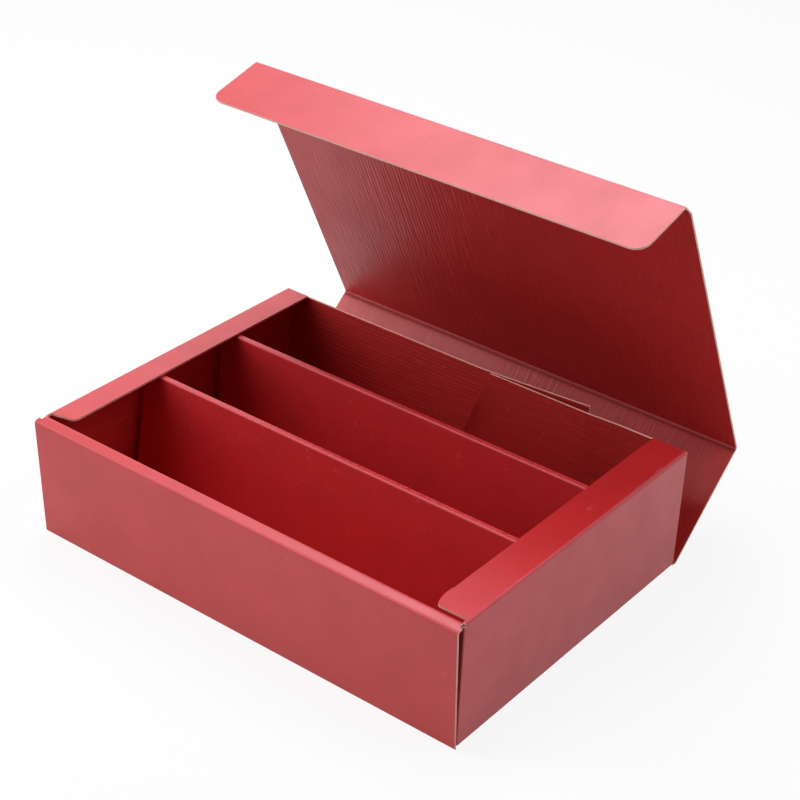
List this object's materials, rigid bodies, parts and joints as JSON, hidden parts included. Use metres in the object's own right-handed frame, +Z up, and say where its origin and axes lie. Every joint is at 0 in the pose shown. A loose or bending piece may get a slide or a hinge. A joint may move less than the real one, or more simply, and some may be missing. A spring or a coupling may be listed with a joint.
{
  "type": "bottle shipping box",
  "caption": "Folded corrugated-board gift carton with a hinged tuck-in lid and a folded insert that parts its inside into bottle compartments.",
  "frame": {"origin": "middle of the underside of the floor, on the surface that the box stands on", "axes": "+X along the length of the box and of the bottles, +Y from the front wall to the lid's hinge, +Z up"},
  "size_m": [0.3612, 0.3391, 0.2921],
  "materials": {
    "red_board": "satin"
  },
  "bodies": {
    "tray": {"tray": "red_board", "divider_insert": "red_board"},
    "back_panel": {"back_panel": "red_board"},
    "lid": {"lid": "red_board"},
    "tuck_flap": {"tuck_flap": "red_board"}
  },
  "joints": [
    {"name": "back_panel_hinge", "type": "hinge", "parent": "tray", "child": "back_panel", "pos_m": [0, 0.13035, 0.0011], "axis": [1, 0, 0], "range_deg": [-40, 49]},
    {"name": "lid_hinge", "type": "hinge", "parent": "back_panel", "child": "lid", "pos_m": [0, 0.20175, 0.06316], "axis": [1, 0, 0], "range_deg": [-75.6, 14.4]},
    {"name": "tuck_flap_hinge", "type": "hinge", "parent": "lid", "child": "tuck_flap", "pos_m": [0, 0.08763, 0.29104], "axis": [1, 0, 0], "range_deg": [-78.4, 11.6]}
  ]
}
